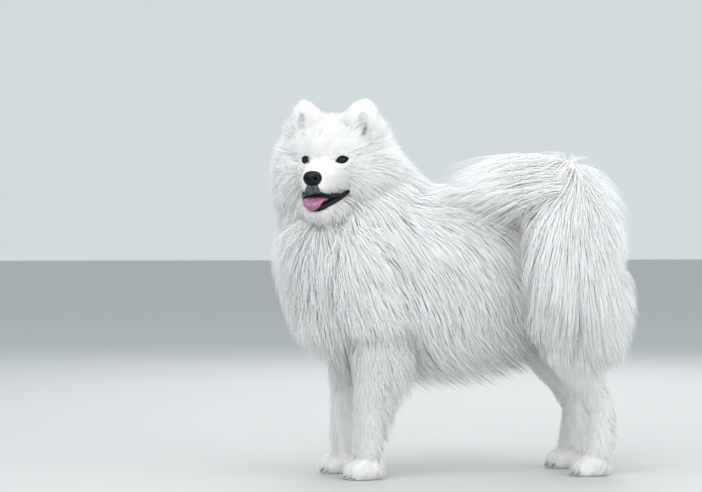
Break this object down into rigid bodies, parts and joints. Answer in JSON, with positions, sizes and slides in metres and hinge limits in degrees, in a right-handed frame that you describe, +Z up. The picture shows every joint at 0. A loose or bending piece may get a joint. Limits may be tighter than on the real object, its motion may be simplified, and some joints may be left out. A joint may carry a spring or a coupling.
{
  "type": "samoyed dog",
  "caption": "Life-size standing samoyed in full white coat, head turned to its left, mouth open, plumed tail curled over the back and down the left flank.",
  "frame": {"origin": "on the floor, under the middle of the outline seen from above", "axes": "+X from the nose end to the rump (the dog faces -X), +Z up, -Y to the dog's left side"},
  "size_m": [0.7314, 0.361, 0.761],
  "materials": {
    "coat": "long white double coat",
    "nose": "moist black skin",
    "lips": "moist black skin",
    "eye": "wet dark brown eye",
    "tongue": "moist pink"
  },
  "bodies": {
    "root": {"head": "coat", "jaw": "coat", "ear_left": "coat", "ear_right": "coat", "eye_left": "eye", "eye_right": "eye", "eyelid_left": "lips", "eyelid_right": "lips", "nose": "nose", "lip_upper": "lips", "lip_lower": "lips", "tongue": "tongue", "neck": "coat", "chest": "coat", "hindquarters": "coat", "tail_base": "coat", "tail_plume": "coat", "foreleg_left": "coat", "foreleg_right": "coat", "forepaw_left": "coat", "forepaw_right": "coat", "thigh_left": "coat", "thigh_right": "coat", "hock_left": "coat", "hock_right": "coat", "hindpaw_left": "coat", "hindpaw_right": "coat"}
  },
  "joints": []
}
